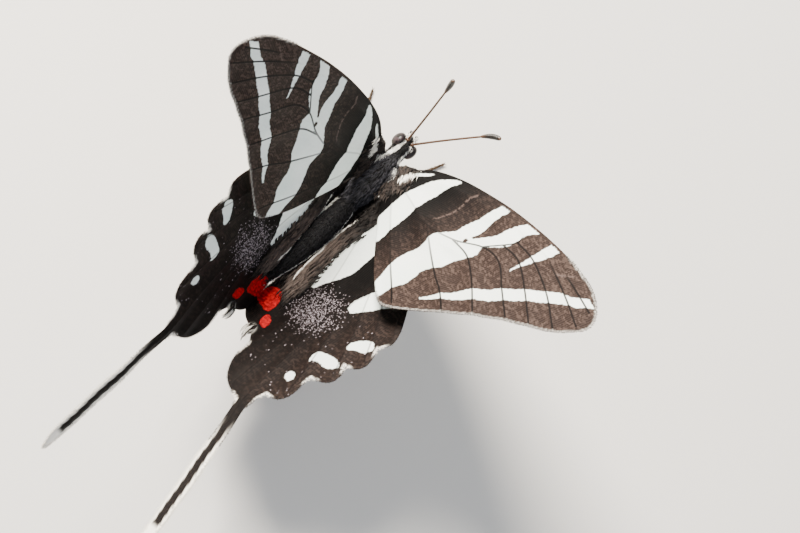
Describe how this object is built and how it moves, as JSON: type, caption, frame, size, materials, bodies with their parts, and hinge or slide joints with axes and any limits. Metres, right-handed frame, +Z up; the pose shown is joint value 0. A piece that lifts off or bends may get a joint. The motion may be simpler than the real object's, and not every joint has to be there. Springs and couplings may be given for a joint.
{
  "type": "zebra swallowtail butterfly model",
  "caption": "Life-size still model of a long-tailed black and white swallowtail butterfly standing with its wings raised in a V.",
  "frame": {"origin": "on the floor, under the centre of the box round the whole butterfly", "axes": "+Y towards the head along the body, +Z up, +X to the butterfly's own right"},
  "size_m": [0.05, 0.066, 0.0399],
  "materials": {
    "wing_scales": "black-brown wing scales crossed by white bands with a faint mint tint, a red spot near the body on each hindwing",
    "body_fur": "short black fur with white lines along the head and shoulders",
    "abdomen_fur": "black above, pale along the sides and below, short fur",
    "eye": "dark faceted compound eye, glossy",
    "cuticle": "brown horny cuticle with a soft gloss",
    "leg_scales": "legs with pale scales above and dark brown tarsi"
  },
  "bodies": {
    "root": {"thorax": "body_fur", "abdomen": "abdomen_fur", "head": "body_fur", "eye_right": "eye", "eye_left": "eye", "antenna_right": "cuticle", "antenna_left": "cuticle", "palp_right": "body_fur", "palp_left": "body_fur", "proboscis": "cuticle", "forewing_right": "wing_scales", "forewing_left": "wing_scales", "hindwing_right": "wing_scales", "hindwing_left": "wing_scales", "leg_fore_right": "leg_scales", "leg_fore_left": "leg_scales", "leg_mid_right": "leg_scales", "leg_mid_left": "leg_scales", "leg_hind_right": "leg_scales", "leg_hind_left": "leg_scales"}
  },
  "joints": []
}
